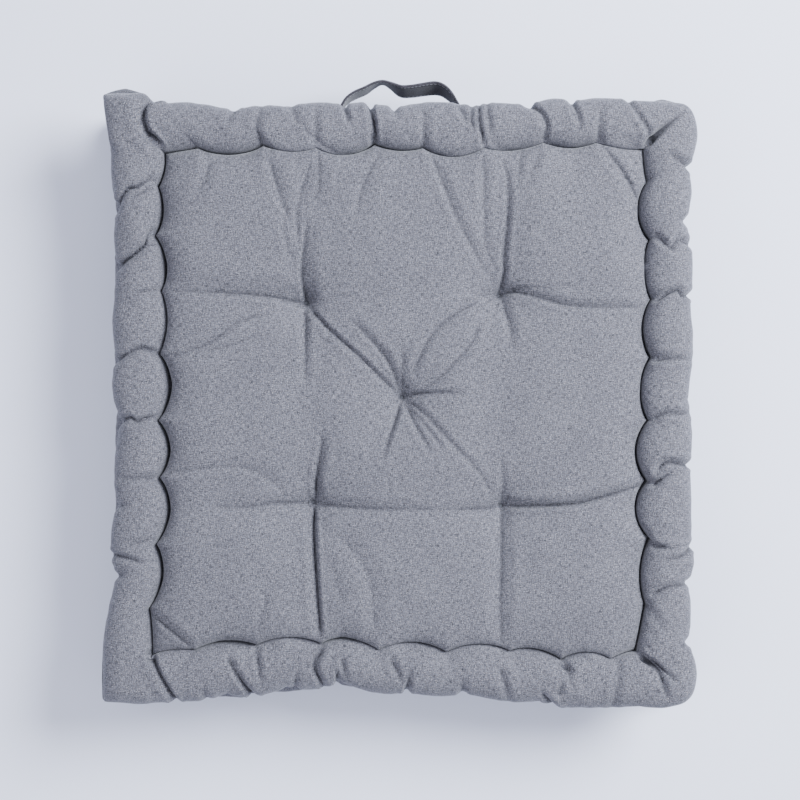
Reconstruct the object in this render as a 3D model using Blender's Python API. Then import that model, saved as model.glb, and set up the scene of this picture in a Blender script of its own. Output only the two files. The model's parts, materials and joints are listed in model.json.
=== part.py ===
"""A square floor cushion: stuffed cover with rolled edges, five tufts and a strap handle.

Every object is one piece of the real cushion. The cover is a top panel, a bottom panel and
four side bands, sewn together along the outermost line of the rolled edges. Hand stitching
along the inside of each roll grips the filling, and five twine ties pull the panels together.
The handle is one strap: its two ends are sewn to the back band, and its loop swings about the
line where it leaves the groove between the two rolls.

Metres, +Z up. The cushion lies on z = 0, and its handle points to +Y. Piece coordinates are
measured from the cushion's own centre line, and the empty "cushion" puts the middle of the
whole bounding box over the origin.
"""

import math

import bmesh
import bpy
import numpy as np
from mathutils import Vector

# ---------------------------------------------------------------- driving dimensions
WIDTH = 0.500  # left to right, halfway along the sides
DEPTH = 0.510  # front to back, halfway along the sides
HEIGHT = 0.100  # floor to the crest of the upper roll
CORNER_EAR = 0.011  # how far the corners stand out past the middle of the sides
CORNER_ROUNDING = 0.005  # how far the very tip of a corner is drawn back

ROLL_WIDTH = 0.040  # a rolled edge, seen from above
VALLEY_WIDTH = 0.003  # the stitched trough between roll and panel
VALLEY_DEPTH = 0.024  # from the crest of the roll down to the stitching
WALL_INSET = 0.014  # how far the wall stands back from the rolls
CROWN = 0.0035  # how far the filled panel rises above the rolls
CROWN_RISE = 0.055  # distance from the stitching in which the panel reaches its crown

TUFT_PITCH_X = 0.165
TUFT_PITCH_Y = 0.177
TUFT_DIP = 0.027  # how far a tie pulls each panel in
TUFT_FLAT = 0.006  # half width of the flat spot under a knot
TUFT_REACH = 0.022  # distance over which a dimple dies away
DRIFT_SPREAD = 0.040  # how far round a tuft its drift pulls the cloth along

FABRIC = 0.0010  # thickness of the cover cloth
FIT_GAP = 0.0005  # between the cloth and the filling
SURFACE_GAP = 0.0003  # between a thread or tab and the cloth it lies on

TWINE = 0.0018  # diameter of a tuft tie
HOLE_CLEARANCE = 0.0006  # round a tie, where it passes through cloth and filling
KNOT_RADIUS = 0.0034
KNOT_HEIGHT = 0.0030
ROLL_THREAD = 0.0012  # diameter of the stitching along a roll
SEAM_THREAD = 0.0008  # diameter of the thread in the cover's seams

STRAP_WIDTH = 0.025
STRAP_THICKNESS = 0.0024
STRAP_CLEARANCE = 0.003  # above and below the strap in the groove between the rolls
LOOP_SPAN = 0.098  # width of the loop where it leaves the groove
LOOP_REACH = 0.021  # how far the middle line of the loop stands out past the rolls
TAB_LENGTH = 0.026  # the sewn length at each end of the strap
TAB_RUN = 0.012  # from the sewn length to where the loop starts, along the band
BOX_MARGIN = 0.003  # from the edge of a tab to its box of stitching
BOX_THREAD = 0.0008

# The tufts, in half steps of the pitch, and how far each was sewn off the regular grid
TUFTS = {
    "centre": ((0, 0), (0.0020, 0.0030)),
    "back_left": ((-1, 1), (0.0010, -0.0040)),
    "back_right": ((1, 1), (0.0030, 0.0020)),
    "front_left": ((-1, -1), (0.0070, 0.0000)),
    "front_right": ((1, -1), (0.0050, -0.0035)),
}

# The loop from above: place along its span and its reach, both as shares, and the strap's lean
# outwards from upright in degrees. It is a limp strap with two humps.
LOOP_SHAPE = (
    (-0.500, 0.00, 0),
    (-0.440, 0.38, 2),
    (-0.330, 0.72, 5),
    (-0.200, 0.97, 8),
    (-0.080, 0.90, 12),
    (0.040, 0.76, 18),
    (0.170, 0.86, 22),
    (0.300, 1.00, 20),
    (0.395, 0.74, 12),
    (0.448, 0.38, 3),
    (0.500, 0.00, 0),
)
LOOP_STEPS = 3  # sections between two points of the loop's shape

# ---------------------------------------------------------------- worked-out dimensions
MID = HEIGHT / 2
HALF = {"x": WIDTH / 2, "y": DEPTH / 2}
TUFT_X = TUFT_PITCH_X / 2
TUFT_Y = TUFT_PITCH_Y / 2
ROLL_R = ROLL_WIDTH / 2
NECK_ANGLE = math.acos(1 - WALL_INSET / ROLL_R)
WALL_HEIGHT = STRAP_WIDTH + 2 * STRAP_CLEARANCE
ROLL_RISE = (HEIGHT - WALL_HEIGHT) / 2 / (1 + math.sin(NECK_ANGLE))  # half the roll's height
ROLL_CENTRE = MID - ROLL_RISE  # height of the roll's middle above the cushion's mid plane
VALLEY = (ROLL_WIDTH - VALLEY_WIDTH / 2, ROLL_WIDTH + VALLEY_WIDTH / 2)
SEAM_GAP = SEAM_THREAD + 2 * SURFACE_GAP  # room for the thread between two sewn edges
STEM_R = TWINE / 2
HOLE_R = STEM_R + HOLE_CLEARANCE
ROLL_ANGLES = tuple(math.radians(a) for a in (0, 45, 90, 135))  # outermost line, inwards
BAND_ANGLES = (0.0, NECK_ANGLE / 2, NECK_ANGLE)  # outermost line, down to the neck

GREY_CLOTH = (0.275, 0.292, 0.332)
DARK_CLOTH = (0.110, 0.115, 0.135)
WHITE_FIBRE = (0.80, 0.79, 0.76)
GREY_TWINE = (0.120, 0.125, 0.145)


# ---------------------------------------------------------------- scene helpers
def clear_scene():
    for obj in list(bpy.data.objects):
        bpy.data.objects.remove(obj, do_unlink=True)


def make_material(name, colour, roughness):
    material = bpy.data.materials.new(name)
    material.use_nodes = True
    shader = material.node_tree.nodes["Principled BSDF"]
    shader.inputs["Base Color"].default_value = (*colour, 1)
    shader.inputs["Roughness"].default_value = roughness
    shader.inputs["Metallic"].default_value = 0
    return material


def add_object(name, data, material, parent):
    obj = bpy.data.objects.new(name, data)
    data.materials.append(material)
    bpy.context.scene.collection.objects.link(obj)
    obj.parent = parent
    return obj


def mesh_from(name, points, faces, smooth_below=50):
    """A closed mesh with its faces turned outwards, shaded smooth where it bends gently."""
    mesh = bpy.data.meshes.new(name)
    mesh.from_pydata([tuple(map(float, p)) for p in points], [], faces)
    shape = bmesh.new()
    shape.from_mesh(mesh)
    bmesh.ops.recalc_face_normals(shape, faces=shape.faces)
    shape.to_mesh(mesh)
    shape.free()
    mesh.shade_smooth()
    mesh.set_sharp_from_angle(angle=math.radians(smooth_below))
    return mesh


def thread(name, points, diameter, closed=False):
    """A cord along the points, as a six-sided curve with filled caps."""
    curve = bpy.data.curves.new(name, "CURVE")
    curve.dimensions = "3D"
    curve.bevel_depth = diameter / 2
    curve.bevel_resolution = 1
    curve.use_fill_caps = not closed
    spline = curve.splines.new("POLY")
    spline.points.add(len(points) - 1)
    for place, point in zip(spline.points, points):
        place.co = (*point, 1)
    spline.use_cyclic_u = closed
    return curve


# ---------------------------------------------------------------- the cushion's form
def plan(x, y):
    """Where a point of the regular square lies on the sewn cushion, seen from above.

    The corners stand out as ears with blunt tips, and each tuft drags the cloth with it.
    """
    across, along = x / HALF["x"], y / HALF["y"]

    def ear(share):
        return CORNER_EAR * share**4 - CORNER_ROUNDING * share**24

    moved_x = x + ear(along) * across**3
    moved_y = y + ear(across) * along**3
    for (i, j), (drift_x, drift_y) in TUFTS.values():
        far = (x - i * TUFT_X) ** 2 + (y - j * TUFT_Y) ** 2
        weight = math.exp(-far / (2 * DRIFT_SPREAD**2))
        moved_x += weight * drift_x
        moved_y += weight * drift_y
    return moved_x, moved_y


def roll_point(angle):
    """(inset from the outline, height above the mid plane) round the upper roll."""
    return ROLL_R * (1 - math.cos(angle)), ROLL_CENTRE + ROLL_RISE * math.sin(angle)


def half_thickness(x, y):
    """Height of the cover above the mid plane at a point of the regular square."""
    inset = min(HALF["x"] - abs(x), HALF["y"] - abs(y))
    if inset < VALLEY[0] - 1e-6:
        lean = 1 - inset / ROLL_R
        return ROLL_CENTRE + ROLL_RISE * math.sqrt(max(0.0, 1 - lean * lean))
    trough = MID - VALLEY_DEPTH
    if inset < VALLEY[1] + 1e-6:
        return trough
    share = min(1.0, (inset - VALLEY[1]) / CROWN_RISE)
    crown = trough + (VALLEY_DEPTH + CROWN) * math.sin(share * math.pi / 2) ** 0.6
    dips = [0.0]
    for (i, j), _ in TUFTS.values():
        away = math.hypot(x - i * TUFT_X, y - j * TUFT_Y)
        dips.append(TUFT_DIP * math.exp(-max(0.0, away - TUFT_FLAT * 1.42) / TUFT_REACH))
    return max(trough * 0.6, crown - max(dips))


def grid_lines(half, tuft):
    """Places of the mesh lines across the square, close together where the form turns."""
    edge, beyond = tuft + TUFT_FLAT, half - VALLEY[1]
    lines = [TUFT_FLAT, tuft * 0.40, tuft * 0.74, tuft - TUFT_FLAT, edge]
    lines += [edge + (beyond - edge) * share for share in (0.18, 0.48, 0.84, 1)]
    lines += [half - VALLEY[0]]
    lines += [half - roll_point(angle)[0] for angle in reversed(ROLL_ANGLES)]
    return [-v for v in reversed(lines)] + lines


LINES_X = grid_lines(HALF["x"], TUFT_X)
LINES_Y = grid_lines(HALF["y"], TUFT_Y)
COLUMNS, ROWS = len(LINES_X), len(LINES_Y)


def rim_order():
    """The grid's outer points, once round, as (column, row)."""
    right, back = COLUMNS - 1, ROWS - 1
    return (
        [(i, 0) for i in range(right)]
        + [(right, j) for j in range(back)]
        + [(i, back) for i in range(right, 0, -1)]
        + [(0, j) for j in range(back, 0, -1)]
    )


RIM = rim_order()


def cover_grid(upper):
    """The cover's outer surface as an array of points. The lower side lies flat on the floor."""
    points = np.zeros((COLUMNS, ROWS, 3))
    for i, x in enumerate(LINES_X):
        for j, y in enumerate(LINES_Y):
            rise = half_thickness(x, y)
            height = MID + rise if upper else max(0.0, MID - rise)
            points[i, j] = (*plan(x, y), height)
    return points


def drawn_in(i, j, inset):
    """A point of the outermost line moved level into the cushion by inset."""
    return plan(
        LINES_X[i] * (1 - inset / HALF["x"]),
        LINES_Y[j] * (1 - inset / HALF["y"]),
    )


def sunk(points, depth, upper):
    """The grid moved inwards by depth along its own normals, and its outermost line level."""
    normals = np.cross(np.gradient(points, axis=0), np.gradient(points, axis=1))
    normals /= np.linalg.norm(normals, axis=2, keepdims=True)
    moved = points - (normals if upper else -normals) * depth
    for i, j in RIM:
        moved[i, j] = (*drawn_in(i, j, depth), points[i, j, 2])
    return moved


def grid_triangles(start):
    """Two triangles a cell, split along the line that points at the middle of the square."""
    faces = []
    for i in range(COLUMNS - 1):
        for j in range(ROWS - 1):
            a, b = start + i * ROWS + j, start + (i + 1) * ROWS + j
            leaning = (i < COLUMNS // 2) == (j < ROWS // 2)
            if leaning:
                faces += [(a, b, b + 1), (a, b + 1, a + 1)]
            else:
                faces += [(a, b, a + 1), (b, b + 1, a + 1)]
    return faces


def ring_faces(first, second):
    """Triangles between two closed rings of point numbers."""
    faces = []
    for k in range(len(first)):
        n = (k + 1) % len(first)
        faces += [(first[k], first[n], second[n]), (first[k], second[n], second[k])]
    return faces


def rim_numbers(start):
    return [start + i * ROWS + j for i, j in RIM]


# ---------------------------------------------------------------- cloth panels and filling
def trimmed(points, upper):
    """The outermost line of a panel, drawn back by half the gap that holds the seam thread."""
    shifted = points.copy()
    step = SEAM_GAP / 2 if upper else -SEAM_GAP / 2
    for i, j in RIM:
        shifted[i, j, 2] += step
    return shifted


def panel_mesh(name, upper):
    outside = trimmed(cover_grid(upper), upper)
    inside = trimmed(sunk(cover_grid(upper), FABRIC, upper), upper)
    count = COLUMNS * ROWS
    points = np.concatenate([outside.reshape(-1, 3), inside.reshape(-1, 3)])
    faces = grid_triangles(0) + grid_triangles(count)
    faces += ring_faces(rim_numbers(0), rim_numbers(count))
    return mesh_from(name, points, faces)


def band_profile(depth):
    """(inset, height above the floor) down a side band, moved inwards by depth."""
    upper = []
    for angle in BAND_ANGLES:
        inset = ROLL_R - (ROLL_R - depth) * math.cos(angle)
        upper.append((inset, MID + ROLL_CENTRE - (ROLL_RISE - depth) * math.sin(angle)))
    inset, height = upper[-1]
    upper[-1] = (WALL_INSET + depth, height)
    return upper + [(inset, HEIGHT - height) for inset, height in reversed(upper)]


def filling_mesh(name):
    depth = FABRIC + FIT_GAP
    top, bottom = (sunk(cover_grid(upper), depth, upper) for upper in (True, False))
    count = COLUMNS * ROWS
    points = list(top.reshape(-1, 3)) + list(bottom.reshape(-1, 3))
    rings = [rim_numbers(0)]
    for inset, height in band_profile(depth)[1:-1]:
        rings.append(range(len(points), len(points) + len(RIM)))
        points += [(*drawn_in(i, j, inset), height) for i, j in RIM]
    rings.append(rim_numbers(count))
    faces = grid_triangles(0) + grid_triangles(count)
    for first, second in zip(rings, rings[1:]):
        faces += ring_faces(list(first), list(second))
    return mesh_from(name, points, faces)


def band_mesh(name, turn):
    """A side band, mitred at both ends. turn counts quarter turns from the right-hand side."""
    far, long = (HALF["x"], HALF["y"]) if turn % 2 == 0 else (HALF["y"], HALF["x"])
    lines = LINES_Y if turn % 2 == 0 else LINES_X
    cos, sin = ((1, 0), (0, 1), (-1, 0), (0, -1))[turn]
    profiles = [band_profile(0.0), band_profile(FABRIC)]
    for profile in profiles:
        profile[0] = (profile[0][0], profile[0][1] - SEAM_GAP / 2)
        profile[-1] = (profile[-1][0], profile[-1][1] + SEAM_GAP / 2)
    loop = profiles[0] + list(reversed(profiles[1]))
    points = []
    for line in lines:
        for inset, height in loop:
            out = far - inset
            side = line * (long - inset - SEAM_GAP * 0.75) / long
            x, y = out * cos - side * sin, out * sin + side * cos
            points.append((*plan(x, y), height))
    size = len(loop)
    faces = []
    for k in range(len(lines) - 1):
        first = list(range(k * size, (k + 1) * size))
        faces += ring_faces(first, [n + size for n in first])
    for start in (0, (len(lines) - 1) * size):
        for n in range(size // 2 - 1):
            a, b = start + n, start + size - 1 - n
            faces += [(a, a + 1, b - 1), (a, b - 1, b)]
    return mesh_from(name, points, faces)


# ---------------------------------------------------------------- ties and stitching
def turned_mesh(name, profile, centre, sides=8):
    """A solid turned about a vertical axis from (radius, height) pairs, lowest first."""
    points = [(*centre, profile[0][1])]
    rings = []
    for radius, height in profile[1:-1]:
        rings.append(list(range(len(points), len(points) + sides)))
        for k in range(sides):
            angle = math.tau * k / sides
            points.append(
                (centre[0] + radius * math.cos(angle), centre[1] + radius * math.sin(angle), height)
            )
    points.append((*centre, profile[-1][1]))
    faces = []
    for first, second in zip(rings, rings[1:]):
        faces += ring_faces(first, second)
    for tip, ring in ((0, rings[0]), (len(points) - 1, rings[-1])):
        faces += [(tip, ring[k], ring[(k + 1) % sides]) for k in range(sides)]
    return mesh_from(name, points, faces)


def tuft_place(tuft):
    (i, j), _ = TUFTS[tuft]
    return plan(i * TUFT_X, j * TUFT_Y)


def tuft_level(tuft):
    """Height of the cloth above the mid plane on the flat spot of a tuft."""
    (i, j), _ = TUFTS[tuft]
    return half_thickness(i * TUFT_X, j * TUFT_Y)


def tie_mesh(name, tuft):
    """A twine through the whole cushion, with a flattened knot on each panel."""
    seat = tuft_level(tuft) + SURFACE_GAP
    knot = [
        (STEM_R, seat),
        (KNOT_RADIUS, seat + KNOT_HEIGHT * 0.35),
        (KNOT_RADIUS * 0.8, seat + KNOT_HEIGHT * 0.8),
        (0.0, seat + KNOT_HEIGHT),
    ]
    upper = [(radius, MID + rise) for radius, rise in knot]
    lower = [(radius, MID - rise) for radius, rise in reversed(knot)]
    return turned_mesh(name, lower + upper, tuft_place(tuft))


def cut_holes(obj, cutters):
    for tuft, cutter in cutters.items():
        hole = obj.modifiers.new(f"hole_{tuft}", "BOOLEAN")
        hole.operation = "DIFFERENCE"
        hole.solver = "EXACT"
        hole.object = cutter


def hole_cutter(tuft, parent, material):
    reach = HEIGHT
    profile = [(0, -reach), (HOLE_R, -reach), (HOLE_R, HEIGHT + reach), (0, HEIGHT + reach)]
    name = f"hole_cutter_{tuft}"
    cutter = add_object(name, turned_mesh(name, profile, tuft_place(tuft)), material, parent)
    cutter.hide_render = True
    cutter.display_type = "WIRE"
    return cutter


def roll_stitching(name, turn, upper):
    """The thread that lies in the trough beside one roll."""
    far, long = (HALF["x"], HALF["y"]) if turn % 2 == 0 else (HALF["y"], HALF["x"])
    lines = LINES_Y if turn % 2 == 0 else LINES_X
    cos, sin = ((1, 0), (0, 1), (-1, 0), (0, -1))[turn]
    rise = MID - VALLEY_DEPTH + SURFACE_GAP + ROLL_THREAD / 2
    height = MID + rise if upper else MID - rise
    out = far - ROLL_WIDTH
    reach = long - ROLL_WIDTH - VALLEY_WIDTH - ROLL_THREAD
    inner = [v for v in lines if abs(v) < reach - VALLEY_WIDTH]
    sides = [-reach, *inner, reach]
    points = []
    for side in sides:
        points.append((*plan(out * cos - side * sin, out * sin + side * cos), height))
    return thread(name, points, ROLL_THREAD)


def seam_ring(name, upper):
    """The lockstitch thread between a panel's edge and the bands' edges, all the way round."""
    height = MID + ROLL_CENTRE if upper else MID - ROLL_CENTRE
    points = [(*drawn_in(i, j, FABRIC / 2), height) for i, j in RIM]
    return thread(name, points, SEAM_THREAD, closed=True)


def corner_seam(name, sign_x, sign_y):
    """The thread that joins two bands down one corner, between the two seam rings."""
    profile = band_profile(FABRIC / 2)
    profile[0] = (profile[0][0], profile[0][1] - SEAM_GAP)
    profile[-1] = (profile[-1][0], profile[-1][1] + SEAM_GAP)
    points = []
    for inset, height in profile:
        x, y = sign_x * (HALF["x"] - inset), sign_y * (HALF["y"] - inset)
        points.append((*plan(x, y), height))
    return thread(name, points, SEAM_THREAD)


# ---------------------------------------------------------------- the handle
WALL_FACE = HALF["y"] - WALL_INSET  # outer face of the back band's wall
TAB_FACE = WALL_FACE + SURFACE_GAP + STRAP_THICKNESS / 2  # middle line of a sewn tab
PIVOT_Y = HALF["y"]  # the loop swings about the line where it leaves the rolls


def loop_outline():
    """The loop's middle line from above with its lean, as a smooth curve through LOOP_SHAPE."""
    shape = [
        np.array((share * LOOP_SPAN, PIVOT_Y + reach * LOOP_REACH, math.radians(lean)))
        for share, reach, lean in LOOP_SHAPE
    ]
    shape = [2 * shape[0] - shape[1], *shape, 2 * shape[-1] - shape[-2]]
    line = []
    for before, start, end, after in zip(shape, shape[1:], shape[2:], shape[3:]):
        for step in range(LOOP_STEPS):
            t = step / LOOP_STEPS
            bend = (end - before) * t + (2 * before - 5 * start + 4 * end - after) * t**2
            bend += (3 * start - before - 3 * end + after) * t**3
            line.append(start + bend / 2)
    line.append(shape[-2])
    return line


def ribbon_mesh(name, line, flat_ends, origin=(0, 0, 0)):
    """A flat strap along (x, y, lean) places at the cushion's mid height.

    flat_ends squares each end off across X, so that two lengths meet face to face.
    """
    points = []
    last = len(line) - 1
    for k, (x, y, lean) in enumerate(line):
        ahead, behind = line[min(k + 1, last)], line[max(k - 1, 0)]
        along = Vector((ahead[0] - behind[0], ahead[1] - behind[1], 0)).normalized()
        outward = Vector((-along.y, along.x, 0))
        if outward.y < 0:
            outward.negate()
        if flat_ends[0] and k == 0 or flat_ends[1] and k == last:
            outward = Vector((0, 1 / max(0.3, abs(along.x)), 0))
        up = outward.normalized() * math.sin(lean) + Vector((0, 0, math.cos(lean)))
        thick = outward * math.cos(lean) - Vector((0, 0, math.sin(lean)))
        middle = Vector((x, y, MID)) - Vector(origin)
        for side, edge in ((1, 1), (1, -1), (-1, -1), (-1, 1)):
            corner = middle + thick * (side * STRAP_THICKNESS / 2)
            points.append(corner + up * (edge * STRAP_WIDTH / 2))
    faces = [(0, 1, 2, 3), tuple(4 * last + n for n in range(4))]
    for k in range(last):
        first = list(range(4 * k, 4 * k + 4))
        faces += ring_faces(first, [n + 4 for n in first])
    return mesh_from(name, points, faces, smooth_below=60)


def loop_mesh(name, origin):
    line = loop_outline()
    line[0] = line[0] + np.array((SURFACE_GAP / 2, 0, 0))
    line[-1] = line[-1] - np.array((SURFACE_GAP / 2, 0, 0))
    return ribbon_mesh(name, line, (True, True), origin)


def tab_line(side):
    """One sewn end: flat on the wall, then out along the groove to the loop. side is -1 or 1."""
    root = LOOP_SPAN / 2 + TAB_RUN
    tip = root + TAB_LENGTH
    end = LOOP_SPAN / 2 + SURFACE_GAP / 2
    rise = PIVOT_Y - TAB_FACE
    bend = [
        (end, PIVOT_Y),
        (end + TAB_RUN * 0.35, TAB_FACE + rise * 0.42),
        (end + TAB_RUN * 0.7, TAB_FACE + rise * 0.10),
        (root, TAB_FACE),
        ((root + tip) / 2, TAB_FACE),
        (tip, TAB_FACE),
    ]
    line = [(side * x, y, 0.0) for x, y in bend]
    return line if side > 0 else line[::-1]


def tab_mesh(name, side):
    return ribbon_mesh(name, tab_line(side), (side > 0, side < 0))


def box_stitching(name, side):
    """A sewn box with a cross in it, standing just proud of a tab's face."""
    root = LOOP_SPAN / 2 + TAB_RUN
    middle = side * (root + TAB_LENGTH / 2)
    half_x = TAB_LENGTH / 2 - BOX_MARGIN
    half_z = STRAP_WIDTH / 2 - BOX_MARGIN
    low = TAB_FACE + STRAP_THICKNESS / 2 + SURFACE_GAP
    slant = BOX_THREAD / 2 * math.hypot(half_x, half_z)
    tip_x, tip_z = slant / half_z, slant / half_x  # where the cross meets in the middle
    in_x, in_z = half_x - BOX_THREAD, half_z - BOX_THREAD
    foot_x = (half_x * in_z - slant) / half_z
    foot_z = (half_z * in_x - slant) / half_x
    # Going round: four outer corners, then the three corners of each opening, its tip last
    flat = [(half_x, half_z), (-half_x, half_z), (-half_x, -half_z), (half_x, -half_z)]
    flat += [(foot_x, in_z), (-foot_x, in_z), (0, tip_z)]
    flat += [(-in_x, foot_z), (-in_x, -foot_z), (-tip_x, 0)]
    flat += [(-foot_x, -in_z), (foot_x, -in_z), (0, -tip_z)]
    flat += [(in_x, -foot_z), (in_x, foot_z), (tip_x, 0)]
    count = len(flat)
    areas = [(6, 9, 12, 15)]
    for n in range(4):
        first, second, tip = 4 + 3 * n, 5 + 3 * n, 6 + 3 * n
        nxt = (n + 1) % 4
        areas.append((n, nxt, second, first))
        areas.append((nxt, 4 + 3 * nxt, 6 + 3 * nxt, tip, second))
    edges = [(n, (n + 1) % 4) for n in range(4)]
    for n in range(4, count, 3):
        edges += [(n, n + 1), (n + 1, n + 2), (n + 2, n)]
    points = [(middle + x, low + lift, MID + z) for lift in (0, BOX_THREAD) for x, z in flat]
    faces = areas + [tuple(n + count for n in area) for area in areas]
    faces += [(a, b, b + count, a + count) for a, b in edges]
    return mesh_from(name, points, faces)


# ---------------------------------------------------------------- assembly
def centre_on_floor(cushion):
    """Moves the cushion so that the middle of its bounding box is over the origin.

    No thread reaches as far out as the cloth and the strap, so only the meshes are measured.
    """
    bpy.context.view_layer.update()
    corners = [
        obj.matrix_world @ Vector(corner)
        for obj in bpy.context.scene.objects
        if obj.type == "MESH" and not obj.hide_render
        for corner in obj.bound_box
    ]
    spans = [[corner[axis] for corner in corners] for axis in (0, 1)]
    cushion.location = (*(-(min(span) + max(span)) / 2 for span in spans), 0)


def build():
    clear_scene()
    cloth = make_material("cover_cloth", GREY_CLOTH, 0.9)
    strap = make_material("strap_cloth", DARK_CLOTH, 0.9)
    fibre = make_material("filling_fibre", WHITE_FIBRE, 1.0)
    twine = make_material("twine", GREY_TWINE, 0.8)

    cushion = bpy.data.objects.new("cushion", None)
    bpy.context.scene.collection.objects.link(cushion)
    cutters = {tuft: hole_cutter(tuft, cushion, cloth) for tuft in TUFTS}

    pierced = [
        add_object("top_panel", panel_mesh("top_panel", True), cloth, cushion),
        add_object("bottom_panel", panel_mesh("bottom_panel", False), cloth, cushion),
        add_object("filling", filling_mesh("filling"), fibre, cushion),
    ]
    for obj in pierced:
        cut_holes(obj, cutters)
    for tuft in TUFTS:
        name = f"tuft_tie_{tuft}"
        add_object(name, tie_mesh(name, tuft), twine, cushion)

    for turn, side in enumerate(("right", "back", "left", "front")):
        add_object(f"side_band_{side}", band_mesh(f"side_band_{side}", turn), cloth, cushion)
        for level, upper in (("top", True), ("bottom", False)):
            name = f"{level}_roll_stitching_{side}"
            add_object(name, roll_stitching(name, turn, upper), twine, cushion)
    for level, upper in (("top", True), ("bottom", False)):
        name = f"{level}_seam_thread"
        add_object(name, seam_ring(name, upper), twine, cushion)
    for corner, signs in {
        "back_right": (1, 1),
        "back_left": (-1, 1),
        "front_left": (-1, -1),
        "front_right": (1, -1),
    }.items():
        name = f"corner_seam_{corner}"
        add_object(name, corner_seam(name, *signs), twine, cushion)

    for side, label in ((-1, "left"), (1, "right")):
        add_object(f"handle_end_{label}", tab_mesh(f"handle_end_{label}", side), strap, cushion)
        name = f"handle_stitching_{label}"
        add_object(name, box_stitching(name, side), twine, cushion)
    hinge = bpy.data.objects.new("handle_hinge", None)
    bpy.context.scene.collection.objects.link(hinge)
    hinge.parent = cushion
    hinge.location = (0, PIVOT_Y, MID)
    add_object("handle_loop", loop_mesh("handle_loop", hinge.location), strap, hinge)

    centre_on_floor(cushion)


build()
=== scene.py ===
"""Looks of the tufted floor cushion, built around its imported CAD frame.

Lists are in millimetres from the middle of the cushion, seen from above, +X to the right and
+Y towards the handle. T is the side with the handle, B the opposite one, L and R are left and
right, and C is the middle, so TL is the tuft or the corner at the back left.

The cover is three grids: the top panel, the bottom panel, and a ring over the upper roll, the
wall and the lower roll, shown as two rolls and four side bands. Folds are pressed in along lines.
"""

import json
import math

import bpy
import numpy as np
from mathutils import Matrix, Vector


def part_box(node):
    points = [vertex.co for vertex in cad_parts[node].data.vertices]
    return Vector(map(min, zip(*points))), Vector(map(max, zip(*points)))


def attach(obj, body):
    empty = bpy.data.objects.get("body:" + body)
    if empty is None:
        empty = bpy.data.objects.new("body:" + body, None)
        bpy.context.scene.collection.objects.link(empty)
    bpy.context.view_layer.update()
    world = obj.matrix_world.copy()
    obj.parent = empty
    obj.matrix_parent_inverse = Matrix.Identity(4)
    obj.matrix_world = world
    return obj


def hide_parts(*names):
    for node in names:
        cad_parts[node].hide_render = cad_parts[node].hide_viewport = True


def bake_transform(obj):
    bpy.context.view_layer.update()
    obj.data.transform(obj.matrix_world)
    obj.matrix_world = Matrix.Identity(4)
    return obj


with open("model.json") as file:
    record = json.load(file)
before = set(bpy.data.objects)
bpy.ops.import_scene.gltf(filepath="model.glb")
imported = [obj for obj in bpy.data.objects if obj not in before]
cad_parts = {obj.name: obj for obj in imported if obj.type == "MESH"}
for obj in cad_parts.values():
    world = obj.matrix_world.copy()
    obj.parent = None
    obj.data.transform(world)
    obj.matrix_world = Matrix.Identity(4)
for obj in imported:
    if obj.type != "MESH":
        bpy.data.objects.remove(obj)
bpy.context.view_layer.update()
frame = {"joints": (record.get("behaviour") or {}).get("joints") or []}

MM = 0.001

# ---- sizes from the frame
TOP_LOW, TOP_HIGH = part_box("top_panel")
CENTRE = np.array([(TOP_LOW.x + TOP_HIGH.x) / 2, (TOP_LOW.y + TOP_HIGH.y) / 2]) / MM
HIGH_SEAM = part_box("top_seam_thread")
LOW_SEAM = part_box("bottom_seam_thread")
SEAM_Z = (HIGH_SEAM[0].z + HIGH_SEAM[1].z) / 2 / MM  # the upper seam's height
HEIGHT = SEAM_Z + (LOW_SEAM[0].z + LOW_SEAM[1].z) / 2 / MM  # from the floor to the roll's crest
CROWN = TOP_HIGH.z / MM  # the filled panel's crown
PIVOT = np.array(frame["joints"][0]["pos_m"]) / MM  # the middle of the handle's hinge line

# ---- sizes of the cover
ROLL = 40.0  # width of a roll
ROLL_RISE = HEIGHT - SEAM_Z  # from a seam to the crest of its roll
INSET = 14.0  # how far the wall between the rolls stands inside the outline
NECK_TURN = math.acos(1 - 2 * INSET / ROLL)  # the cloth's turn from a seam in to the wall
HALF = (250.0, 255.0)  # half the cushion's width and depth along its outermost seams
PANEL = (412.0, 424.0)  # width and depth of the filled panel
TROUGH = 76.0  # the bottom of the trough between the panel and its roll
SHALLOW = 94.5  # the same where the gap is closed
FLOOR_EASE = 3.0  # height below which the underside flattens out on the floor
CLOSED, DEEP_FROM = 0.06, 0.6  # least share of the gap; the share from which it is full depth
EDGE_REACH = 26.0  # how far into the panel the waves of its border are felt
LEVEL_REACH = 8.0  # the same for the level of the trough round it
TRIM_REACH = 30.0  # how far from a corner a roll keeps its unsmoothed edge
ROUNDNESS = 0.85  # of the roll's section: 1 is an ellipse and less is squarer
WALL_SWELL = 3.2  # how far the wall swells out between the rolls
SEAM_SUNK, SEAM_SPREAD = 1.4, 1.7  # depth and half width of the groove at a seam
BLOCK_LEFT, BLOCK_BACK, BLOCK_FRONT = -253.0, 262.0, -261.0  # where the left roll's ends reach
BLOCK_FULL, BLOCK_EDGE = 0.95, 15.0  # how full those ends are, and the width of their rounding

STEP = 1.36  # from one point of a grid to the next
ROLL_ROWS, NECK_ROWS, WALL_ROWS = 44, 14, 18

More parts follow.
